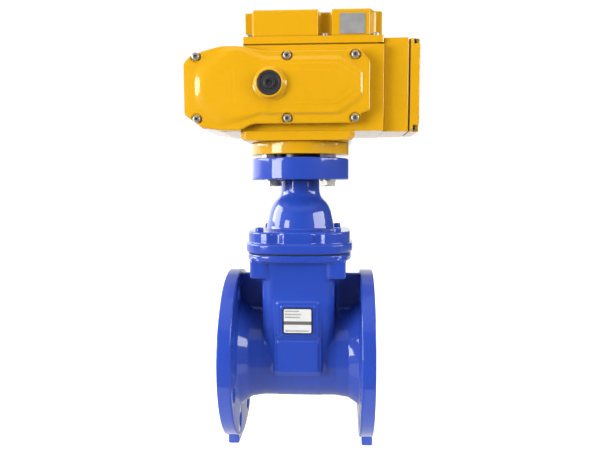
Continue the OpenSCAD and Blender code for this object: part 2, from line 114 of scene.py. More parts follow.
# ---------------------------------------------------------------- distance fields for the castings

def oblong(u, v, half_u, half_v, power):
    """Distance to a superellipse, true near its edge."""
    a = np.abs(u) / half_u + 1e-6
    b = np.abs(v) / half_v + 1e-6
    level = (a ** power + b ** power) ** (1 / power)
    slope = np.hypot(a ** (power - 1) / half_u, b ** (power - 1) / half_v) * level ** (1 - power)
    return (level - 1) / slope


def rounded_rect(u, v, half_u, half_v, corner):
    """Distance to a rectangle with round corners."""
    qu = np.abs(u) - half_u + corner
    qv = np.abs(v) - half_v + corner
    outside = np.hypot(np.maximum(qu, 0), np.maximum(qv, 0))
    return outside + np.minimum(np.maximum(qu, qv), 0) - corner


def raised(flat, height, low, high, edge):
    """A flat shape raised from low to high, with round edges."""
    side = flat + edge
    cap = np.abs(height - (low + high) / 2) - (high - low) / 2 + edge
    outside = np.hypot(np.maximum(side, 0), np.maximum(cap, 0))
    return outside + np.minimum(np.maximum(side, cap), 0) - edge


def merge(a, b, fillet):
    """Both shapes, with a fillet where they meet."""
    h = np.maximum(fillet - np.abs(a - b), 0) / fillet
    return np.minimum(a, b) - h * h * fillet / 4


def carve(a, b, edge):
    """The first shape less the second, with a round edge."""
    return -merge(-a, b, edge)


def casting_field(x, y, z):
    """The valve body between its pipe flanges, before its port is bored."""
    ax, ay = np.abs(x), np.abs(y)
    tube = raised(np.hypot(y, z) - TUBE_R, x, -70, 70, 1)
    half_x = CHAMBER_X + CHAMBER_GROWS_X * np.clip((z - CHAMBER_FOOT) / 54, 0, 1) ** 0.9
    half_y = CHAMBER_Y + CHAMBER_GROWS_Y * np.clip((z - CHAMBER_FOOT) / 84, 0, 1)
    chamber = raised(rounded_rect(x, y, half_x, half_y, 15), z, CHAMBER_FOOT - 6, UNDER_NECK + 3, 5)
    bowl = raised(np.hypot(y, z) - TUBE_R - 0.4, x, -CHAMBER_X, CHAMBER_X, 6)
    shape = merge(np.minimum(tube, bowl), chamber, 6)
    for centre_z, half in ((56.5, 22.5), (9.5, 20.5)):
        plinth = raised(rounded_rect(x, z - centre_z, 29.5, half + 3.5, 5), ay, 40, PLINTH_Y, 1.5)
        panel = raised(rounded_rect(x, z - centre_z, 25.5, half - 0.5, 3), ay, 40, PANEL_Y, 1.5)
        shape = merge(shape, merge(plinth, panel, 2.5), 2)
    pad = raised(rounded_rect(x, z - (PLATE_LOW.z + PLATE_HIGH.z) / 2, 21, 19, 3.5), -y, 40, PAD_Y, 0.7)
    shape = merge(shape, pad, 1)
    ribs = raised(rounded_rect(y, z - 78.5, 6, 27.5, 3), ax, 20, FACE_X - FLANGE_T + 4, 1)
    shape = merge(shape, ribs, 9)
    bosses = raised(rounded_rect(ax - SCREW_X, ay - SCREW_Y, 11, 12, 4), z,
                    UNDER_NECK - 21, UNDER_NECK + 3, 2.5)
    neck = raised(oblong(x, y, *NECK), z, UNDER_NECK, BODY_TOP, 1.6)
    return merge(merge(shape, bosses, 4), neck, 3.5)


# Radius of the dome and neck, from the bonnet flange to the mounting flange
DOME_HEIGHTS = np.array([-20, 0, 12, 24, 31, 36, 39.5, 42.5, 47, 53, 60, 80])
DOME_RADII = np.array([45.5, 44.3, 42.3, 39.6, 36.6, 33.2, 29.4, 26.8, 25.3, 24.8, 24.6, 24.6])


def smooth_curve(heights, radii, samples=400, reach=13):
    """The points of a curve, each softened with its neighbours within reach."""
    h = np.linspace(heights[0], heights[-1], samples)
    r = np.interp(h, heights, radii)
    window = np.hanning(2 * reach + 1)
    window /= window.sum()
    padded = np.concatenate([np.full(reach, r[0]), r, np.full(reach, r[-1])])
    return h, np.convolve(padded, window, mode="valid")


DOME_H, DOME_R = smooth_curve(DOME_HEIGHTS, DOME_RADII)
DOME_SLOPE = np.gradient(DOME_R, DOME_H)


def bonnet_field(x, y, z):
    """The bonnet: a ledge, a flange with four pockets, a dome and a neck."""
    ax, ay = np.abs(x), np.abs(y)
    low, top = BONNET_LOW.z, BONNET_FLANGE_TOP
    ledge = raised(oblong(x, y, *LEDGE), z, low, LEDGE_TOP, 1.7)
    flange = raised(oblong(x, y, *BONNET_FLANGE), z, low + 2, top, 2)
    pocket = raised(np.hypot(ax - POCKET_X, ay - POCKET_Y) - 8, z, LEDGE_TOP - 1, top + 9, 2)
    shape = merge(ledge, carve(flange, pocket, 4), 1.5)
    height = z - top
    radius = np.interp(height, DOME_H, DOME_R)
    slope = np.interp(height, DOME_H, DOME_SLOPE)
    wall = (np.hypot(x, y) - radius) / np.sqrt(1 + slope ** 2)
    middle_z, half_z = (LEDGE_TOP + BONNET_HIGH.z) / 2, (BONNET_HIGH.z - LEDGE_TOP) / 2
    dome = np.maximum(wall, np.abs(z - middle_z) - half_z)
    return merge(shape, dome, 4)


# ---------------------------------------------------------------- meshes

def link(name, mesh):
    obj = bpy.data.objects.new(name, mesh)
    bpy.context.scene.collection.objects.link(obj)
    return obj


def shade(obj, sharp_angle=35):
    """Smooth shading that stays crisp at edges sharper than the angle."""
    obj.data.polygons.foreach_set("use_smooth", [True] * len(obj.data.polygons))
    obj.data.set_sharp_from_angle(angle=math.radians(sharp_angle))
    return obj


def from_bmesh(name, bm, scale=MM):
    """A new object from a bmesh drawn in millimetres."""
    bmesh.ops.scale(bm, vec=(scale, scale, scale), verts=bm.verts)
    bmesh.ops.recalc_face_normals(bm, faces=bm.faces)
    mesh = bpy.data.meshes.new(name)
    bm.to_mesh(mesh)
    bm.free()
    return link(name, mesh)


def gradient(field, points, reach=0.4):
    """Slope of the field at each point."""
    parts = []
    for axis in range(3):
        step = np.zeros(3)
        step[axis] = reach
        parts.append((field(*(points + step).T) - field(*(points - step).T)) / (2 * reach))
    return np.stack(parts, axis=1)


def settle(field, points, quads, rounds=3):
    """Evens out the points and puts them back on the surface."""
    ends = np.concatenate([quads[:, [i, (i + 1) % 4]] for i in range(4)])
    for _ in range(rounds):
        total = np.zeros_like(points)
        count = np.zeros(len(points))
        for a, b in ((0, 1), (1, 0)):
            np.add.at(total, ends[:, a], points[ends[:, b]])
            np.add.at(count, ends[:, a], 1)
        points = 0.45 * points + 0.55 * total / count[:, None]
        slope = gradient(field, points)
        size = np.maximum((slope ** 2).sum(axis=1), 0.25)
        points = points - (field(*points.T) / size)[:, None] * slope
    return points


def surface(name, field, low, high, step):
    """A mesh of the field's zero surface, as surface nets."""
    axes = [np.arange(low[i], high[i] + step, step) for i in range(3)]
    values = field(*np.meshgrid(*axes, indexing="ij", sparse=True))
    inside = values < 0
    corner = [slice(0, -1), slice(1, None)]
    count = sum(inside[corner[i], corner[j], corner[k]].astype(np.int8)
                for i in (0, 1) for j in (0, 1) for k in (0, 1))
    cells = np.argwhere((count > 0) & (count < 8))
    index = np.full(count.shape, -1)
    index[tuple(cells.T)] = np.arange(len(cells))
    total = np.zeros((len(cells), 3))
    crossings = np.zeros(len(cells))
    for axis in range(3):
        u, v = (axis + 1) % 3, (axis + 2) % 3
        for du, dv in ((0, 0), (1, 0), (0, 1), (1, 1)):
            start = cells.copy()
            start[:, u] += du
            start[:, v] += dv
            end = start.copy()
            end[:, axis] += 1
            a, b = values[tuple(start.T)], values[tuple(end.T)]
            hit = (a < 0) != (b < 0)
            share = np.where(hit, a / np.where(hit, a - b, 1), 0)
            place = start.astype(float)
            place[:, axis] += share
            total[hit] += place[hit]
            crossings[hit] += 1
    points = total / crossings[:, None] * step + np.array(low, dtype=float)
    quads = []
    for axis in range(3):
        u, v = (axis + 1) % 3, (axis + 2) % 3
        first, second = [slice(None)] * 3, [slice(None)] * 3
        first[axis], second[axis] = corner
        begins_inside = inside[tuple(first)]
        edges = np.argwhere(begins_inside != inside[tuple(second)])
        edges = edges[(edges[:, u] > 0) & (edges[:, v] > 0)]
        ring = []
        for du, dv in ((1, 1), (0, 1), (0, 0), (1, 0)):
            cell = edges.copy()
            cell[:, u] -= du
            cell[:, v] -= dv
            ring.append(index[tuple(cell.T)])
        ring = np.stack(ring, axis=1)
        outward = begins_inside[tuple(edges.T)]
        quads.append(np.where(outward[:, None], ring, ring[:, ::-1]))
    quads = np.concatenate(quads)
    points = settle(field, points, quads)
    mesh = bpy.data.meshes.new(name)
    mesh.from_pydata((points * MM).tolist(), [], quads.tolist())
    return link(name, mesh)


def round_corners(corners):
    """An outline through (u, v, radius) corners, each rounded by its own radius."""
    outline = []
    for i, (u, v, radius) in enumerate(corners):
        here = Vector((u, v))
        if radius <= 0:
            outline.append(here)
            continue
        back = (Vector(corners[i - 1][:2]) - here).normalized()
        ahead = (Vector(corners[(i + 1) % len(corners)][:2]) - here).normalized()
        half = back.angle(ahead) / 2
        centre = here + (back + ahead).normalized() * (radius / math.sin(half))
        arm = here + back * (radius / math.tan(half)) - centre
        last = here + ahead * (radius / math.tan(half)) - centre
        turn = math.atan2(arm.x * last.y - arm.y * last.x, arm.dot(last))
        for k in range(ARC_STEPS + 1):
            a = turn * k / ARC_STEPS
            outline.append(centre + Vector((arm.x * math.cos(a) - arm.y * math.sin(a),
                                            arm.x * math.sin(a) + arm.y * math.cos(a))))
    return outline


AXES = {
    "x": lambda along, r, a: (along, r * math.cos(a), r * math.sin(a)),
    "-y": lambda along, r, a: (r * math.cos(a), -along, r * math.sin(a)),
    "z": lambda along, r, a: (r * math.cos(a), r * math.sin(a), along),
}


def turned(profile, axis, centre=(0, 0, 0), sides=128):
    """A closed (along, radius) outline turned round an axis, as a bmesh."""
    bm = bmesh.new()
    place = AXES[axis]
    rings = []
    for along, radius in profile:
        ring = []
        for k in range(sides):
            spot = Vector(place(along, radius, 2 * math.pi * k / sides)) + Vector(centre)
            ring.append(bm.verts.new(spot))
        rings.append(ring)
    for i, ring in enumerate(rings):
        after = rings[(i + 1) % len(rings)]
        if profile[i][1] < 1e-6 and profile[(i + 1) % len(rings)][1] < 1e-6:
            continue  # both lie on the axis
        for k in range(sides):
            bm.faces.new((ring[k], ring[(k + 1) % sides], after[(k + 1) % sides], after[k]))
    bmesh.ops.remove_doubles(bm, verts=bm.verts, dist=1e-4)
    bmesh.ops.dissolve_degenerate(bm, edges=bm.edges, dist=1e-4)
    return bm


def rod(low, high, radius, axis="z", centre=(0, 0, 0), sides=48):
    """A plain rod between two places along the axis, as a bmesh."""
    return turned([(low, 0), (low, radius), (high, radius), (high, 0)], axis, centre, sides)


def stacked(name, axis, sections):
    """A solid through outlines of equal counts, each at its own place along the axis, which is y or z."""
    place = {"y": lambda u, v, w: (u, w, v), "z": lambda u, v, w: (u, v, w)}[axis]
    bm = bmesh.new()
    rings = [[bm.verts.new(place(u, v, w)) for u, v in outline] for w, outline in sections]
    count = len(rings[0])
    for ring, after in zip(rings, rings[1:]):
        for k in range(count):
            bm.faces.new((ring[k], ring[(k + 1) % count], after[(k + 1) % count], after[k]))
    bm.faces.new(rings[0][::-1])
    bm.faces.new(rings[-1])
    return from_bmesh(name, bm)


def apply_modifiers(obj):
    """Replaces the object's mesh by what its modifiers make of it."""
    graph = bpy.context.evaluated_depsgraph_get()
    mesh = bpy.data.meshes.new_from_object(obj.evaluated_get(graph))
    obj.modifiers.clear()
    obj.data = mesh
    return obj


def combine(obj, tool, operation):
    """A boolean with a tool object, which is used up. The exact solver steps in if most faces are lost."""
    before = len(obj.data.polygons)
    kept = obj.data.copy()
    for solver in ("MANIFOLD", "EXACT"):
        change = obj.modifiers.new("boolean", "BOOLEAN")
        change.operation = operation
        change.solver = solver
        change.object = tool
        apply_modifiers(obj)
        if len(obj.data.polygons) > before * 0.2:
            break
        obj.data = kept.copy()
    bpy.data.objects.remove(tool)
    return obj


def bevelled(obj, width, angle=30, segments=3):
    """Round edges wherever two faces meet at more than the angle."""
    change = obj.modifiers.new("bevel", "BEVEL")
    change.width = width * MM
    change.segments = segments
    change.limit_method = "ANGLE"
    change.angle_limit = math.radians(angle)
    change.use_clamp_overlap = False
    change.harden_normals = True
    change.miter_outer = "MITER_ARC"
    obj.data.polygons.foreach_set("use_smooth", [True] * len(obj.data.polygons))
    return apply_modifiers(obj)


def piece(obj, node):
    """Dresses the object in its node's finish and puts it in that node's place."""
    slot = SLOTS[node]
    obj.data.materials.clear()
    obj.data.materials.append(FINISHES[slot])
    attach(obj, BODY)
    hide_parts(node)
    return obj


# ---------------------------------------------------------------- finishes

class Graph:
    """A short way to write a material's nodes."""

    def __init__(self, name):
        self.material = bpy.data.materials.new(name)
        self.material.use_nodes = True
        self.tree = self.material.node_tree
        self.shader = self.tree.nodes["Principled BSDF"]
        self.place = self.node("ShaderNodeTexCoord").outputs["Object"]

    def node(self, kind, **settings):
        made = self.tree.nodes.new(kind)
        for key, value in settings.items():
            setattr(made, key, value)
        return made

    def feed(self, node, socket, value):
        if isinstance(value, bpy.types.NodeSocket):
            self.tree.links.new(value, node.inputs[socket])
        else:
            node.inputs[socket].default_value = value

    def noise(self, scale, detail=2.0, roughness=0.5):
        """Noise of about this many waves in a metre."""
        made = self.node("ShaderNodeTexNoise")
        self.feed(made, "Vector", self.place)
        self.feed(made, "Scale", scale)
        self.feed(made, "Detail", detail)
        self.feed(made, "Roughness", roughness)
        return made.outputs["Fac"]

    def spread(self, value, low, high):
        """Noise between its usual ends, stretched to low..high."""
        made = self.node("ShaderNodeMapRange")
        self.feed(made, "Value", value)
        self.feed(made, "From Min", 0.3)
        self.feed(made, "From Max", 0.7)
        self.feed(made, "To Min", low)
        self.feed(made, "To Max", high)
        return made.outputs["Result"]

    def mix(self, share, a, b):
        """A blend of two colours, which are the node's sockets 6 and 7, with its result in socket 2."""
        made = self.node("ShaderNodeMix", data_type="RGBA")
        self.feed(made, 0, share)
        self.tree.nodes.update()
        for number, value in ((6, a), (7, b)):
            if isinstance(value, bpy.types.NodeSocket):
                self.tree.links.new(value, made.inputs[number])
            else:
                made.inputs[number].default_value = (*value, 1)
        return made.outputs[2]

    def maths(self, operation, a, b=0.0, c=0.0):
        made = self.node("ShaderNodeMath", operation=operation)
        for number, value in enumerate((a, b, c)):
            self.feed(made, number, value)
        return made.outputs[0]

    def bump(self, height, strength, distance, normal=None):
        made = self.node("ShaderNodeBump")
        self.feed(made, "Height", height)
        self.feed(made, "Strength", strength)
        self.feed(made, "Distance", distance)
        if normal is not None:
            self.feed(made, "Normal", normal)
        return made.outputs["Normal"]

    def set(self, **values):
        for key, value in values.items():
            self.feed(self.shader, key.replace("_", " "), value)


def shifted(colour, share):
    """The colour, lighter or darker."""
    return tuple(min(1.0, channel * share) for channel in colour)


def paint(slot, colour, other, roughness, coat, coat_roughness, wave, peel):
    """A sprayed or baked paint: broad colour drift, uneven gloss, casting waves and orange peel."""
    g = Graph(slot)
    drift = g.spread(g.noise(14, 3), 0, 1)
    mottle = g.spread(g.noise(160, 4, 0.6), 0, 1)
    broad = g.mix(drift, colour, other)
    g.set(Base_Color=g.mix(g.maths("MULTIPLY", mottle, 0.35), broad, shifted(colour, 0.86)))
    g.set(Roughness=g.spread(g.noise(60, 3), roughness * 0.85, roughness * 1.2))
    cast = g.bump(g.noise(42, 2), wave, 0.0006)
    skin = g.bump(g.noise(900, 2), peel, 0.00006, cast)
    g.set(Normal=skin, Coat_Normal=skin)
    g.set(Coat_Weight=coat, Coat_Roughness=coat_roughness, Specular_IOR_Level=0.12)
    return g.material


def metal(slot, colour, roughness, grain=0.12, metallic=1.0):
    """Plated or turned metal with fine streaks and uneven gloss; dull plating is less metallic."""
    g = Graph(slot)
    streak = g.noise(700, 3, 0.6)
    g.set(Base_Color=g.mix(g.spread(g.noise(300, 3), 0, 1), colour, shifted(colour, 0.9)))
    g.set(Metallic=metallic, Roughness=g.spread(streak, roughness * 0.9, roughness * 1.12))
    g.set(Normal=g.bump(streak, grain, 0.00004))
    return g.material


def moulded(slot, colour, roughness, grain=0.25, scale=1400):
    """Rubber or plastic with a fine moulded grain."""
    g = Graph(slot)
    g.set(Base_Color=g.mix(g.spread(g.noise(90, 3), 0, 1), colour, shifted(colour, 1.3)))
    g.set(Roughness=g.spread(g.noise(240, 2), roughness * 0.85, roughness * 1.15))
    g.set(Normal=g.bump(g.noise(scale, 2), grain, 0.00005))
    return g.material


def band(g, value, low, high):
    """1 where the value lies between low and high, in metres."""
    above = g.maths("GREATER_THAN", value, low)
    below = g.maths("LESS_THAN", value, high)
    return g.maths("MULTIPLY", above, below)


BORDER = 1.8 * MM
PLATE_CORNER = 3.6 * MM
PLATE_FILM = (0.46, 0.46, 0.455), (0.42, 0.42, 0.42)
PLATE_INK = (0.045, 0.044, 0.045)
# Near-black navy edge round the film: partly a printed frame, partly painted shade where the plate meets its
# blue pad
PLATE_EDGE_PRINT_AND_SHADE = (0.010, 0.011, 0.022)
# As shares of the plate's height and width: the dark band's edges, and each line's bottom, start and end
DARK_BAND = (0.36, 0.49)
RULED_LINES = ((0.84, 0.08, 0.55), (0.72, 0.08, 0.62), (0.61, 0.08, 0.58), (0.1, 0.1, 0.88))
LINE_HEIGHT = 0.055


def printed_plate(slot):
    """White film in a dark edge, part printed frame and part painted shade at the pad, with a dark band and
    generic ruled lines; it carries no words.
    """
    g = Graph(slot)
    split = g.node("ShaderNodeSeparateXYZ")
    g.feed(split, "Vector", g.place)
    x, z = split.outputs["X"], split.outputs["Z"]
    left, right = PLATE_LOW.x * MM, PLATE_HIGH.x * MM
    low, high = PLATE_LOW.z * MM, PLATE_HIGH.z * MM
    width, tall = right - left, high - low
    grey = g.maths("MULTIPLY", band(g, z, low + DARK_BAND[0] * tall, low + DARK_BAND[1] * tall), 0.9)
    for bottom, start, end in RULED_LINES:
        line = g.maths("MULTIPLY", band(g, z, low + bottom * tall, low + (bottom + LINE_HEIGHT) * tall),
                       band(g, x, left + start * width, left + end * width))
        dashes = g.maths("GREATER_THAN", g.noise(1500, 1), 0.44)
        grey = g.maths("MAXIMUM", grey, g.maths("MULTIPLY", g.maths("MULTIPLY", line, dashes), 0.7))
    white = g.mix(g.spread(g.noise(80, 3), 0, 1), *PLATE_FILM)
    printed = g.mix(grey, white, PLATE_INK)
    reach = []
    for value, middle_at, half in ((x, (left + right) / 2, width / 2), (z, (low + high) / 2, tall / 2)):
        away = g.maths("ABSOLUTE", g.maths("SUBTRACT", value, middle_at))
        reach.append(g.maths("MAXIMUM", g.maths("SUBTRACT", away, half - PLATE_CORNER), 0.0))
    spread = g.maths("ADD", g.maths("POWER", reach[0], 2.0), g.maths("POWER", reach[1], 2.0))
    inside = g.maths("LESS_THAN", spread, (PLATE_CORNER - BORDER) ** 2)
    # Outside the rounded film the dark edge is drawn: part print, part painted shade
    g.set(Base_Color=g.mix(inside, PLATE_EDGE_PRINT_AND_SHADE, printed))
    g.set(Roughness=0.32, Coat_Weight=0.4, Coat_Roughness=0.1)
    return g.material


FINISHES = {
    "blue_epoxy": paint("blue_epoxy", (0.013, 0.043, 0.285), (0.015, 0.039, 0.262),
                        0.45, 1.0, 0.045, 0.16, 0.25),
    "yellow_enamel": paint("yellow_enamel", (0.465, 0.242, 0.002), (0.440, 0.222, 0.002),
                           0.45, 1.0, 0.07, 0.06, 0.25),
    "gate_rubber": moulded("gate_rubber", (0.02, 0.02, 0.02), 0.5),
    "stem_steel": metal("stem_steel", (0.6, 0.6, 0.6), 0.25),
    "gasket_rubber": moulded("gasket_rubber", (0.010, 0.010, 0.012), 0.75),
    # The seal's brown is darkened to near black: partly its own colour, partly painted shade in the narrow
    # seam it fills
    "seal_brown": moulded("seal_brown", (0.03, 0.015, 0.005), 0.75),
    "zinc_steel": metal("zinc_steel", (0.50, 0.475, 0.435), 0.34, 0.02, 0.8),
    "dark_steel": metal("dark_steel", (0.16, 0.14, 0.13), 0.36),
    "plug_plastic": moulded("plug_plastic", (0.018, 0.018, 0.02), 0.38, 0.3),
    "grey_plate": moulded("grey_plate", (0.150, 0.151, 0.149), 0.42, 0.1, 700),
    "white_plate": printed_plate("white_plate"),
}
for node, cad in frame["nodes"].items():
    cad.data.materials.clear()
    cad.data.materials.append(FINISHES[SLOTS[node]])


# ---------------------------------------------------------------- the valve

def port_tools():
    """What is cut from the casting: the bore, the gate's groove and the gate's space above."""
    bore = from_bmesh("bore", rod(-100, 100, PORT_R, "x", sides=96))
    groove = from_bmesh("groove", rod(-23, 23, PORT_R + 3, "x", sides=96))
    half_x, half_y, squareness, sides = 27, 57, 0.4, 64
    outline = []
    for k in range(sides):
        a = 2 * math.pi * k / sides
        c, s = math.cos(a), math.sin(a)
        outline.append((half_x * math.copysign(abs(c) ** squareness, c),
                        half_y * math.copysign(abs(s) ** squareness, s)))
    return bore, groove, stacked("gate_space", "z", [(0, outline), (BODY_TOP + 2, outline)])


def bolt_hole_tool(angle, side):
    """A drill for one flange bolt hole, flared to break its edges, which starts clear of the flange."""
    back, front = FACE_X - RAISED_H - FLANGE_T, FACE_X - RAISED_H
    flare, clear = 1.2, 3
    profile = [(back - clear, 0), (back - clear, HOLE_R + flare + clear), (back + flare - 0.6, HOLE_R),
               (front - flare + 0.6, HOLE_R), (front + clear, HOLE_R + flare + clear), (front + clear, 0)]
    profile = [(side * along, r) for along, r in profile]
    centre = (0, HOLE_CIRCLE_R * math.cos(angle), HOLE_CIRCLE_R * math.sin(angle))
    return from_bmesh("drill", turned(profile, "x", centre, sides=40))


def pipe_flange(side):
    """One pipe flange: raised face, round rim, hub flaring into the pipe, eight holes and a foot."""
    face, front = FACE_X, FACE_X - RAISED_H
    back = front - FLANGE_T
    hub, tail = back - 14, back - 30
    corners = [(side * x, r, rounding) for x, r, rounding in (
        (face, PORT_R, 1.5), (face, RAISED_R, 0.6), (front, RAISED_R + 0.8, 0.5), (front, FLANGE_R, 1.6),
        (back, FLANGE_R, 2.2), (back, TUBE_R + 12, 5), (hub, TUBE_R + 2.5, 9), (tail, TUBE_R + 0.15, 0),
        (tail, PORT_R + 1.5, 0), (back - 20, PORT_R, 0))]
    name = "pipe_flange_right" if side > 0 else "pipe_flange_left"
    flange = from_bmesh(name, turned(round_corners(corners), "x", sides=160))
    for k in range(FLANGE_HOLES):
        angle = 2 * math.pi * (k + 0.5) / FLANGE_HOLES
        combine(flange, bolt_hole_tool(angle, side), "DIFFERENCE")
    x0, x1 = FACE_X - FOOT_T, FACE_X
    foot = bmesh.new()
    bmesh.ops.create_cube(foot, size=1)
    top = -FLANGE_R + 8
    bmesh.ops.scale(foot, vec=(x1 - x0, FOOT_W, top - VALVE_LOW.z), verts=foot.verts)
    bmesh.ops.translate(foot, vec=(side * (x0 + x1) / 2, 0, (top + VALVE_LOW.z) / 2), verts=foot.verts)
    foot = bevelled(from_bmesh("foot", foot), 1.8)
    combine(flange, foot, "UNION")
    return shade(flange, 32)


def build_valve():
    casting = surface("valve_casting", casting_field, (-84, -84, -64), (84, 84, BODY_TOP + 3), step=1.45)
    for tool in port_tools():
        combine(casting, tool, "DIFFERENCE")
    piece(shade(casting, CAST_ANGLE), "valve_body")
    for side in (-1, 1):
        piece(pipe_flange(side), "valve_body")
    low, high = BONNET_LOW.z, BONNET_HIGH.z
    bonnet = surface("bonnet_casting", bonnet_field, (-72, -84, low - 3), (72, 84, high + 3), step=1.25)
    combine(bonnet, from_bmesh("stem_hole", rod(low - 5, high + 5, STEM_HOLE_R)), "DIFFERENCE")
    piece(shade(bonnet, CAST_ANGLE), "bonnet")


def build_mounting():
    """Two flat round flanges with rounded rims and the stem's hole."""
    for name, node, edge in (("mounting_disc", "mounting_flange", 1.8),
                             ("actuator_disc", "base_flange", 1.2)):
        low, high = span(node)
        corners = [(low.z, STEM_HOLE_R, 0.4), (low.z, high.x, edge), (high.z, high.x, edge),
                   (high.z, STEM_HOLE_R, 0.4)]
        piece(shade(from_bmesh(name, turned(round_corners(corners), "z", sides=160))), node)


build_valve()
build_mounting()


# ---------------------------------------------------------------- the actuator's housings

COVER_LOW, COVER_HIGH = span("front_cover")
HOUSING_LOW, HOUSING_HIGH = span("gearbox_housing")
LID_LOW, LID_HIGH = span("top_box_lid")
TERMINAL_LOW, TERMINAL_HIGH = span("terminal_cover")
LEFT, RIGHT = COVER_LOW.x, COVER_HIGH.x
BOTTOM, TOP = HOUSING_LOW.z, HOUSING_HIGH.z

# The left end, shared by the housing and its cover, from its lowest point round to its highest
END = [(LEFT + 45, BOTTOM), (LEFT + 19, BOTTOM + 4), (LEFT + 6, BOTTOM + 14), (LEFT, BOTTOM + 18),
       (LEFT, TOP - 22), (LEFT + 10, TOP - 12), (LEFT + 44, TOP - 3), (LEFT + 67, TOP - 3)]
# The cover's outline is the sum of three convex ones: its wide left end, its long side and its foot
COVER_END = [(LEFT + 117, BOTTOM + 26), (LEFT + 117, TOP - 14.5)] + END[::-1] + [(LEFT + 65, BOTTOM)]
COVER_SIDE = [(LEFT + 73, BOTTOM + 18.5), (RIGHT - 10, BOTTOM + 18.5), (RIGHT, BOTTOM + 22),
              (RIGHT, TOP - 21), (RIGHT - 12, TOP - 9), (LEFT + 73, TOP - 9)]
COVER_FOOT = [(LEFT + 73, BOTTOM + 8), (RIGHT - 18.5, BOTTOM + 8), (RIGHT - 9, BOTTOM + 19),
              (RIGHT - 9, TOP - 30), (LEFT + 73, TOP - 30)]
COVER_SCREWS = [(x, z) for x in (LEFT + 15, LEFT + 122, RIGHT - 17) for z in (BOTTOM + 13.7, TOP - 14.7)]
COVER_BOSS_R = 7.6
COVER_POCKET_R = 6.3
# How far forward the cover's rim and its lowest plateau reach, and how thick the second plateau is
COVER_FACE = 76.0
RAISED_FACE = 78.2
STEP_T = 0.5
# The chamfer at the cover's left end: how far it reaches inwards, and how deep it is at the edge
CHAMFER_X = 13
CHAMFER_Y = 0.9

# Three plateaus stand on each other, and the lowest follows the cover's wide left end. Each corner also
# says how far in the wall that starts there leans
PLATEAU_END = [(LEFT + 13.5, BOTTOM + 30, 13), (LEFT + 40, BOTTOM + 5, 6), (LEFT + 67, BOTTOM + 9.8, 2.2),
               (LEFT + 103, BOTTOM + 22, 2), (LEFT + 103, TOP - 18, 5), (LEFT + 70, TOP - 4.5, 3),
               (LEFT + 48, TOP - 4.2, 6), (LEFT + 36, TOP - 8, 13), (LEFT + 13.5, TOP - 30, 7)]
PLATEAU_SIDE = [(LEFT + 92, BOTTOM + 18, 2), (RIGHT - 32.5, BOTTOM + 18, 5), (RIGHT - 8.5, BOTTOM + 35, 2.4),
                (RIGHT - 8.5, TOP - 33, 1.5), (RIGHT - 35, TOP - 15.5, 4), (LEFT + 92, TOP - 15.5, 2)]
SECOND = [(LEFT + 60, BOTTOM + 29, 2), (RIGHT - 38, BOTTOM + 29, 2), (RIGHT - 16.5, BOTTOM + 44, 1.1),
          (RIGHT - 16.5, TOP - 37, 0.5), (RIGHT - 37, TOP - 24, 2), (LEFT + 60, TOP - 24, 2)]
THIRD = [(LEFT + 66, BOTTOM + 34, 2), (RIGHT - 43, BOTTOM + 34, 2), (RIGHT - 23.3, BOTTOM + 48, 1.1),
         (RIGHT - 23.3, TOP - 43, 0.5), (RIGHT - 41, TOP - 31.5, 2), (LEFT + 66, TOP - 31.5, 2)]


def convex(u, v, outline, corner):
    """Distance to a convex outline, given counter-clockwise, with softened corners."""
    field = None
    for (u0, v0), (u1, v1) in zip(outline, outline[1:] + outline[:1]):
        side = ((u - u0) * (v1 - v0) - (v - v0) * (u1 - u0)) / math.hypot(u1 - u0, v1 - v0)
        field = side if field is None else -merge(-field, -side, corner)
    return field


def clipped(field, u, v, start, end, edge):
    """The field less what lies left of the line from start to end, in the (u, v) plane."""
    run, rise = end[0] - start[0], end[1] - start[1]
    plane = ((v - start[1]) * run - (u - start[0]) * rise) / math.hypot(run, rise)
    return -merge(-field, -plane, edge)


def plateau(u, v, height, corners, base, top, edge):
    """A convex plateau between base and top, with leaning walls."""
    field = None
    for (u0, v0, lean), (u1, v1, _) in zip(corners, corners[1:] + corners[:1]):
        side = ((u - u0) * (v1 - v0) - (v - v0) * (u1 - u0)) / math.hypot(u1 - u0, v1 - v0)
        slope = lean / (RAISED_FACE - COVER_FACE)
        wall = (side + slope * np.maximum(height - base, 0)) / math.hypot(1, slope)
        field = wall if field is None else -merge(-field, -wall, 2)
    return -merge(-field, top - height, edge)


def cover_field(x, y, z):
    """The front cover: rim, three shallow plateaus, chamfered end, six screw pockets, a boss top right."""
    h = -y
    outline = merge(convex(x, z, COVER_SIDE, 2), convex(x, z, COVER_FOOT, 2), 1)
    outline = merge(outline, convex(x, z, COVER_END, 2), 3)
    sx, sz = COVER_SCREWS[-1]
    outline = merge(outline, np.hypot(x - sx, z - sz) - COVER_BOSS_R, 4)
    shape = raised(outline, h, -COVER_HIGH.y, COVER_FACE, 1.3)
    shape = clipped(shape, x, h, (LEFT, COVER_FACE - CHAMFER_Y), (LEFT + CHAMFER_X, COVER_FACE), 0.5)
    first = merge(plateau(x, z, h, PLATEAU_END, COVER_FACE, RAISED_FACE, 0.7),
                  plateau(x, z, h, PLATEAU_SIDE, COVER_FACE, RAISED_FACE, 0.7), 1)
    # The upper two die out towards the left
    fade = np.clip((x - LEFT - 70) / 100, 0, 1)
    second = plateau(x, z, h, SECOND, RAISED_FACE, RAISED_FACE + STEP_T * fade, 0.3)
    third = plateau(x, z, h, THIRD, RAISED_FACE + STEP_T,
                    RAISED_FACE + (-COVER_LOW.y - RAISED_FACE) * fade, 0.25)
    above = COVER_FACE - 3 - h
    for step in (first, second, third):
        shape = merge(shape, np.maximum(step, above), 0.5)
    for sx, sz in COVER_SCREWS:
        pocket = raised(np.hypot(x - sx, z - sz) - COVER_POCKET_R, h, COVER_FACE - 2, COVER_FACE + 14, 1)
        shape = carve(shape, pocket, 0.8)
    return shape


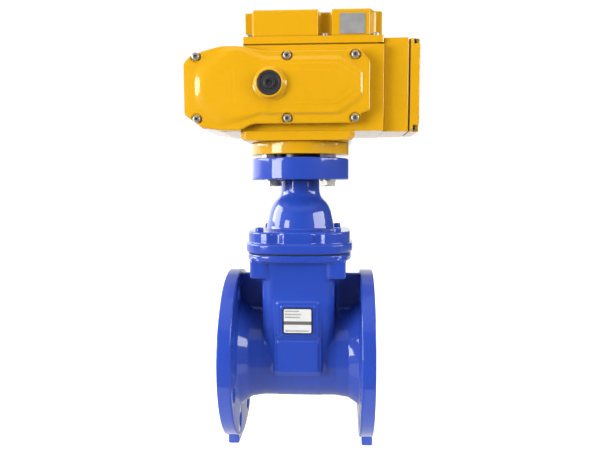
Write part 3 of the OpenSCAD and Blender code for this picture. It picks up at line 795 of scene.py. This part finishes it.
# Where the lid's screw recesses lie along it: at its left, between its two blocks, and at its right
LID_BLOCK = 89
LID_GAP = 16
LID_NOTCHES = (LID_LOW.x + 11.5, LID_LOW.x + LID_BLOCK + LID_GAP / 2, LID_HIGH.x - 15.5)


def lid_field(x, y, z):
    """The lid of the top box, with a screw recess at its corners and in the middle of its long sides."""
    mid_x, mid_y = (LID_LOW.x + LID_HIGH.x) / 2, (LID_LOW.y + LID_HIGH.y) / 2
    half_x, half_y = (LID_HIGH.x - LID_LOW.x) / 2, (LID_HIGH.y - LID_LOW.y) / 2
    shape = raised(rounded_rect(x - mid_x, y - mid_y, half_x, half_y, 3), z, LID_LOW.z, LID_HIGH.z, 2)
    depth = half_y - np.abs(y - mid_y)
    left, middle_x, right = LID_NOTCHES
    notch = np.hypot(np.maximum(x - left + 4, 0), np.maximum(depth - 10, 0)) - 4
    shape = carve(shape, notch, 0.9)
    notch = np.hypot(np.maximum(np.abs(x - middle_x) - 4.5, 0), np.maximum(depth - 11, 0)) - 3.5
    shape = carve(shape, notch, 0.9)
    wall = convex(x, depth, [(right - 4, -8), (right + 30, -8), (right + 30, 14), (right + 7, 14)], 3)
    return carve(shape, wall, 0.9)


def terminal_cover_field(x, y, z):
    """The terminal box's cover: a deep lid with a round edge and a screw pocket in each corner."""
    low, high = TERMINAL_LOW, TERMINAL_HIGH
    rim = low.x + 4
    mid_y, half_y = (low.y + high.y) / 2, (high.y - low.y) / 2
    mid_z, half_z = (low.z + high.z) / 2, (high.z - low.z) / 2
    shape = raised(rounded_rect(y - mid_y, z - mid_z, half_y, half_z, 5), x, low.x, high.x, 1.1)
    across, up = np.abs(y - mid_y) - half_y + 4, np.abs(z - mid_z) - half_z + 4
    pocket = raised(np.hypot(across, up) - 4.8, x, rim, rim + 20, 0.6)
    return carve(shape, pocket, 0.6)


def chamfered(u0, u1, v0, v1, cut):
    """A rectangle with its corners cut off."""
    return [(u0 + cut, v0), (u1 - cut, v0), (u1, v0 + cut), (u1, v1 - cut), (u1 - cut, v1), (u0 + cut, v1),
            (u0, v1 - cut), (u0, v0 + cut)]


def build_housings():
    low, high = span("base_block")
    full = chamfered(low.x, high.x, low.y, high.y, 6)
    short = chamfered(low.x + 4, high.x - 4, low.y, high.y, 6)
    block = stacked("base_block_cast", "z", [(low.z, short), (low.z + 4, full), (high.z, full)])
    piece(bevelled(block, 0.9), "base_block")
    outline = END + [(LEFT + 69, TOP), (HOUSING_HIGH.x, TOP), (HOUSING_HIGH.x, BOTTOM)]
    housing = stacked("gearbox_cast", "y", [(HOUSING_LOW.y, outline), (HOUSING_HIGH.y, outline)])
    piece(bevelled(housing, 0.7), "gearbox_housing")
    low, high = span("rear_cover")
    outline = chamfered(low.x, high.x, low.z, high.z, 15)
    cover = stacked("rear_cover_cast", "y", [(low.y, outline), (high.y, outline)])
    piece(bevelled(cover, 1.4), "rear_cover")
    cut, inset = 1.5, 5
    for node, seam in (("top_box_base", 1.5), ("terminal_box", 0)):
        low, high = span(node)
        outline = chamfered(low.x, high.x, low.y, high.y, cut)
        sections = [(low.z + seam, outline), (high.z, outline)]
        if seam:
            neck = chamfered(low.x + inset, high.x - inset, low.y + inset, high.y - inset, cut)
            sections = [(low.z, neck), (low.z + seam, neck)] + sections
        piece(bevelled(stacked(node + "_cast", "z", sections), 0.5), node)
    margin = Vector((3, 3, 3))
    for node, field, step in (("front_cover", cover_field, 0.95), ("top_box_lid", lid_field, 1.05),
                              ("terminal_cover", terminal_cover_field, 0.95)):
        low, high = span(node)
        cast = surface(node + "_cast", field, low - margin, high + margin, step)
        piece(shade(cast, CAST_ANGLE), node)


build_housings()


# ---------------------------------------------------------------- screws, bolts and small parts

def islands(node):
    """The boxes of a CAD node's separate solids, in millimetres, lowest and highest corners."""
    bm = bmesh.new()
    bm.from_mesh(frame["nodes"][node].data)
    bmesh.ops.remove_doubles(bm, verts=bm.verts, dist=1e-5)
    left = set(bm.verts)
    boxes = []
    while left:
        stack = [left.pop()]
        found = list(stack)
        while stack:
            for edge in stack.pop().link_edges:
                for vert in edge.verts:
                    if vert in left:
                        left.remove(vert)
                        stack.append(vert)
                        found.append(vert)
        low = Vector([min(v.co[i] for v in found) for i in range(3)]) / MM
        high = Vector([max(v.co[i] for v in found) for i in range(3)]) / MM
        boxes.append((low, high))
    bm.free()
    return sorted(boxes, key=lambda pair: tuple(pair[0]))


def socket_head(diameter, height, socket):
    """A cap head with a round crown and a hexagon socket, standing on z = 0."""
    r = diameter / 2
    crown = 0.17 * diameter
    corners = [(0, 0, 0), (0, r - 0.3, 0), (0.3, r, 0), (height, r, crown), (height, 0, 0)]
    head = from_bmesh("head", turned(round_corners(corners), "z", sides=40))
    depth = height * 0.55
    key = rod(height - depth, height + 1, socket / 2, sides=6)
    return combine(head, from_bmesh("key", key), "DIFFERENCE")


def hexagon_head(flats, height):
    """A hexagon head or nut with its corners turned down, standing on z = 0."""
    r = flats / math.sqrt(3)
    prism = from_bmesh("hexagon", rod(0, height, r, sides=6))
    wide, top = r + 0.1, height + 0.1
    cone = turned([(-0.1, 0), (-0.1, r - 0.5), (0.5, wide), (height - 0.9, wide), (top, r - 1.5), (top, 0)],
                  "z", sides=48)
    return combine(prism, from_bmesh("turned_corners", cone), "INTERSECT")


def gather(name, parts):
    """Several objects joined into one mesh."""
    bm = bmesh.new()
    for part in parts:
        mesh = part.data
        mesh.transform(part.matrix_world)
        bm.from_mesh(mesh)
        bpy.data.objects.remove(part)
    return from_bmesh(name, bm, 1.0)


def stamped(source, name, places):
    """Copies of a shape at (position, direction its top faces, turn) places, joined."""
    copies = []
    for position, facing, turn in places:
        copy = link(name + "_copy", source.data.copy())
        move = Matrix.Translation(Vector(position) * MM)
        lean = Vector(facing).to_track_quat("Z", "Y").to_matrix().to_4x4()
        copy.matrix_world = move @ lean @ Matrix.Rotation(turn, 4, "Z")
        copies.append(copy)
    bpy.data.objects.remove(source)
    return shade(gather(name, copies), 30)


def middle(low, high):
    return (low + high) / 2


def build_screws():
    # Node, the way the heads face, thread, and how wide the head and its socket are
    rows = (
        ("front_cover_screws", (0, -1, 0), 6.0, 8.8, 4.0),
        ("rear_cover_screws", (0, 1, 0), 6.0, 8.8, 4.0),
        ("terminal_cover_screws", (1, 0, 0), 4.0, 6.6, 3.2),
        ("bonnet_screws", (0, 0, 1), 6.0, 10.2, 4.2),
    )
    for node, facing, thread, wide, socket in rows:
        head = socket_head(wide, thread * 0.85, socket)
        places = []
        for number, (low, high) in enumerate(islands(node)):
            centre = middle(low, high)
            axis = [abs(c) for c in facing].index(1)
            foot = (high if facing[axis] > 0 else low)[axis] - facing[axis] * thread
            centre[axis] = foot
            places.append((centre, facing, 0.7 * number))
        piece(stamped(head, node + "_heads", places), node)
    head = socket_head(8.2, 4.0, 4.3)
    places = [(Vector((*middle(low, high).xy, low.z)), (0, 0, 1), 0.9 * i)
              for i, (low, high) in enumerate(islands("top_box_screws"))]
    piece(stamped(head, "top_box_screw_heads", places), "top_box_screws")


BOLT_FLATS = 17
BOLT_R = 5
WASHER_R = 9.5
WASHER_HOLE_R = 5.25


def build_bolts():
    washer_low, washer_high = span("bolt_washers")
    bolt_low, bolt_high = span("mounting_bolts")
    nut_low, nut_high = span("spacer_nuts")
    spots = [middle(low, high).xy for low, high in islands("bolt_washers")]

    def on_spots(source, name, z, facing=1, turn=lambda number, x: 0):
        """The shape at each bolt, from z upwards, or downwards where it faces -1."""
        return stamped(source, name, [((*spot, z), (0, 0, facing), turn(number, spot.x))
                                      for number, spot in enumerate(spots)])

    heads = on_spots(hexagon_head(BOLT_FLATS, washer_low.z - bolt_low.z), "bolt_heads", washer_low.z, -1,
                     lambda number, x: math.pi / 6 + math.copysign(0.09, x))
    shank = from_bmesh("shank", rod(0, bolt_high.z - washer_low.z, BOLT_R, sides=32))
    shanks = on_spots(shank, "bolt_shanks", washer_low.z)
    shade(piece(gather("mounting_bolt_set", [heads, shanks]), "mounting_bolts"), 30)
    thick = washer_high.z - washer_low.z
    ring = [(0, WASHER_HOLE_R, 0.2), (0, WASHER_R, 0.3), (thick, WASHER_R, 0.3), (thick, WASHER_HOLE_R, 0.2)]
    washer = from_bmesh("washer", turned(round_corners(ring), "z", sides=40))
    piece(on_spots(washer, "washer_set", washer_low.z), "bolt_washers")
    nuts = on_spots(hexagon_head(BOLT_FLATS, nut_high.z - nut_low.z), "spacer_nut_set", nut_low.z,
                    turn=lambda number, x: 0.2 + 0.5 * number)
    piece(nuts, "spacer_nuts")


def build_hand_drive():
    """The boss on the cover and the round plug with its hexagon socket."""
    low, high = span("hand_drive_boss")
    axis = (middle(low, high).x, 0, middle(low, high).z)
    plug_low, plug_high = span("hand_drive_plug")
    front = -(plug_low.y + 1)
    plug_r = (plug_high.x - plug_low.x) / 2
    outer = (high.x - low.x) / 2
    ring = [(-high.y, plug_r + 0.3, 0), (-high.y, outer, 0), (-high.y + 1.2, outer - 2.2, 1.5),
            (-low.y, outer - 3.7, 1.4), (-low.y, plug_r + 0.3, 0.5)]
    boss = from_bmesh("hand_drive_ring", turned(round_corners(ring), "-y", axis, sides=96))
    piece(shade(boss), "hand_drive_boss")
    profile = [(-plug_high.y, 0, 0), (-plug_high.y, plug_r, 0), (front - 0.2, plug_r, 0.8),
               (front - 0.2, plug_r - 2.2, 0.4), (front - 1.5, plug_r - 3.0, 0.4), (front - 1.5, 6.8, 0.4),
               (front + 0.8, 6.2, 0.5), (front + 0.8, 4.6, 0.4), (front - 0.6, 4.1, 0), (front - 0.6, 0, 0)]
    plug = from_bmesh("hand_drive_cap", turned(round_corners(profile), "-y", axis, sides=96))
    key = rod(front - 2.4, front + 3, 3.4, "-y", axis, sides=6)
    combine(plug, from_bmesh("plug_key", key), "DIFFERENCE")
    piece(shade(plug), "hand_drive_plug")


def rounded_plate(name, low, high, corner, edge):
    """A thin plate facing -Y with round corners."""
    outline = round_corners([(low.x, low.z, corner), (high.x, low.z, corner), (high.x, high.z, corner),
                             (low.x, high.z, corner)])
    bm = bmesh.new()
    face = bm.faces.new([bm.verts.new((p.x, high.y, p.y)) for p in outline])
    raised_part = bmesh.ops.extrude_face_region(bm, geom=[face])
    moved = [v for v in raised_part["geom"] if isinstance(v, bmesh.types.BMVert)]
    bmesh.ops.translate(bm, vec=(0, low.y - high.y, 0), verts=moved)
    return bevelled(from_bmesh(name, bm), edge, segments=2)


def build_plates():
    piece(rounded_plate("data_plate_film", PLATE_LOW, PLATE_HIGH, PLATE_CORNER / MM, 0.25), "data_plate")
    low, high = span("top_box_plate")
    piece(rounded_plate("lid_label", low, high, 0.6, 0.2), "top_box_plate")


build_screws()
build_bolts()
build_hand_drive()
build_plates()


# ---------------------------------------------------------------- floor, light and camera

FLOOR_Z = VALVE_LOW.z * MM
# Where the lights are aimed
TARGET = Vector((0, 0, 0.15))
WORLD_LIGHT = 1.05

# Azimuth and elevation in degrees, distance, width and height in metres, and radiance
SOFTBOXES = {
    "left_softbox": (-53, 3.1, 2.1, 0.9, 0.57, 12.5),
    "cover_softbox": (-45, 15, 2.1, 0.60, 0.3, 12),
    "left_high_softbox": (-95, 22, 2.1, 1.5, 0.95, 10),
    "left_back_softbox": (-132, 12, 2.1, 1.9, 0.9, 0.9),
    "right_softbox": (76, 17.6, 2.2, 1.9, 0.55, 8.5),
}
# These don't show in the gloss
FILLS = {
    "left_fill": (-45, 9, 1.9, 1.3, 1.0, 8.9),
    "right_fill": (50, 9, 1.9, 1.3, 1.0, 6.8),
    "top_light": (0, 62, 1.9, 1.3, 1.0, 3.9),
}


def stage_material(name, colour, roughness, emission=0.0):
    made = bpy.data.materials.new(name)
    made.use_nodes = True
    shader = made.node_tree.nodes["Principled BSDF"]
    shader.inputs["Base Color"].default_value = (*colour, 1)
    shader.inputs["Roughness"].default_value = roughness
    shader.inputs["Specular IOR Level"].default_value = 0.2
    shader.inputs["Emission Color"].default_value = (1, 1, 1, 1)
    shader.inputs["Emission Strength"].default_value = emission
    return made


def direction(azimuth, elevation):
    """Where a light stands: azimuth 0 is in front of the valve, and positive is to the right."""
    a, e = math.radians(azimuth), math.radians(elevation)
    return Vector((math.sin(a) * math.cos(e), -math.cos(a) * math.cos(e), math.sin(e)))


def softbox(name, azimuth, elevation, distance, width, height, radiance):
    """A rectangular light aimed at the valve. Radiance is what it looks like in a mirror."""
    data = bpy.data.lights.new(name, "AREA")
    data.shape = "RECTANGLE"
    data.size = width
    data.size_y = height
    data.energy = radiance * width * height * math.pi
    lamp = link(name, data)
    lamp.location = TARGET + direction(azimuth, elevation) * distance
    lamp.rotation_euler = (TARGET - lamp.location).to_track_quat("-Z", "Y").to_euler()
    lamp.visible_camera = False
    return lamp


def screen(name, bm, colour, emission=0.0):
    """A matt part of the stage, unseen by the camera."""
    made = from_bmesh(name, bm, 1.0)
    made.data.materials.append(stage_material(name, colour, 0.9, emission))
    made.visible_camera = False
    return made


def flag(name, start, end, radius, low, high, colour):
    """A curved screen round the valve that keeps light off."""
    bm = bmesh.new()
    steps = 24
    columns = []
    for k in range(steps + 1):
        spot = direction(start + (end - start) * k / steps, 0) * radius
        columns.append([bm.verts.new((spot.x, spot.y, z)) for z in (low, high)])
    for a, b in zip(columns, columns[1:]):
        bm.faces.new((a[0], b[0], b[1], a[1]))
    screen(name, bm, colour)


def level_flag(name, across, along, height, colour, emission=0.0):
    """A flat level screen that keeps light off or gives some."""
    bm = bmesh.new()
    corners = [(across[i], along[j], height) for i, j in ((0, 0), (1, 0), (1, 1), (0, 1))]
    bm.faces.new([bm.verts.new(corner) for corner in corners])
    return screen(name, bm, colour, emission)


def only_reflected(obj):
    """Keeps a screen out of the light that falls on things, so it only shows in their gloss."""
    obj.visible_diffuse = False
    obj.visible_shadow = False


def build_stage():
    bm = bmesh.new()
    bmesh.ops.create_grid(bm, x_segments=1, y_segments=1, size=9)
    bmesh.ops.translate(bm, vec=(0, 0, FLOOR_Z), verts=bm.verts)
    floor = from_bmesh("studio_floor", bm, 1.0)
    floor.data.materials.append(stage_material("studio_floor", (0.4, 0.4, 0.4), 0.6, 1.0))
    floor.visible_glossy = False
    # The floor as the gloss shows it: all of it, the strip in front, and the part in the valve's shade
    for name, across, along, height, emission in (
            ("far_floor", (-9, 9), (-9, 9), -0.001, 0.85),
            ("bright_floor", (-0.6, 0.6), (-0.25, -0.02), 0.0005, 1.1),
            ("shaded_floor", (-0.075, 0.075), (-0.25, 0.3), 0.001, 0.5)):
        only_reflected(level_flag(name, across, along, FLOOR_Z + height, (0, 0, 0), emission))
    flag("front_flag", -100, 160, 2.7, FLOOR_Z, 2.2, (0.05, 0.05, 0.055))
    level_flag("ceiling_flag", (-3, 3), (-3, 3), 2.2, (0.2, 0.2, 0.2), 0.4)
    level_flag("floor_flag", (-3, 3), (-3, -0.25), FLOOR_Z + 0.002, (0.04, 0.04, 0.045))
    world = bpy.data.worlds.new("studio")
    world.use_nodes = True
    background = world.node_tree.nodes["Background"]
    background.inputs["Color"].default_value = (1, 1, 1, 1)
    background.inputs["Strength"].default_value = WORLD_LIGHT
    bpy.context.scene.world = world
    bpy.context.scene.view_settings.view_transform = "Standard"
    for name, values in SOFTBOXES.items():
        softbox(name, *values)
    for name, values in FILLS.items():
        softbox(name, *values).visible_glossy = False


def build_camera():
    """The photograph's viewing angle: close, a little to the right, level with the bonnet."""
    # Metres and radians
    distance, height = 0.82952, 0.21562
    azimuth, tilt, roll = 0.0552, -0.1092, -0.0023
    data = bpy.data.cameras.new("camera")
    data.sensor_width = 36.0
    data.lens = 38.0
    data.shift_x = -0.001
    data.shift_y = 0.0555
    data.clip_start = 0.02
    camera = link("camera", data)
    ahead = Vector((-math.sin(azimuth) * math.cos(tilt), math.cos(azimuth) * math.cos(tilt),
                    math.sin(tilt)))
    right = Vector((math.cos(azimuth), math.sin(azimuth), 0))
    up = right.cross(ahead)
    rolled_right = right * math.cos(roll) + up * math.sin(roll)
    rolled_up = up * math.cos(roll) - right * math.sin(roll)
    place = Vector((distance * math.sin(azimuth), -distance * math.cos(azimuth), height))
    camera.matrix_world = Matrix((
        (rolled_right.x, rolled_up.x, -ahead.x, place.x),
        (rolled_right.y, rolled_up.y, -ahead.y, place.y),
        (rolled_right.z, rolled_up.z, -ahead.z, place.z),
        (0, 0, 0, 1)))
    bpy.context.scene.camera = camera


build_stage()
build_camera()
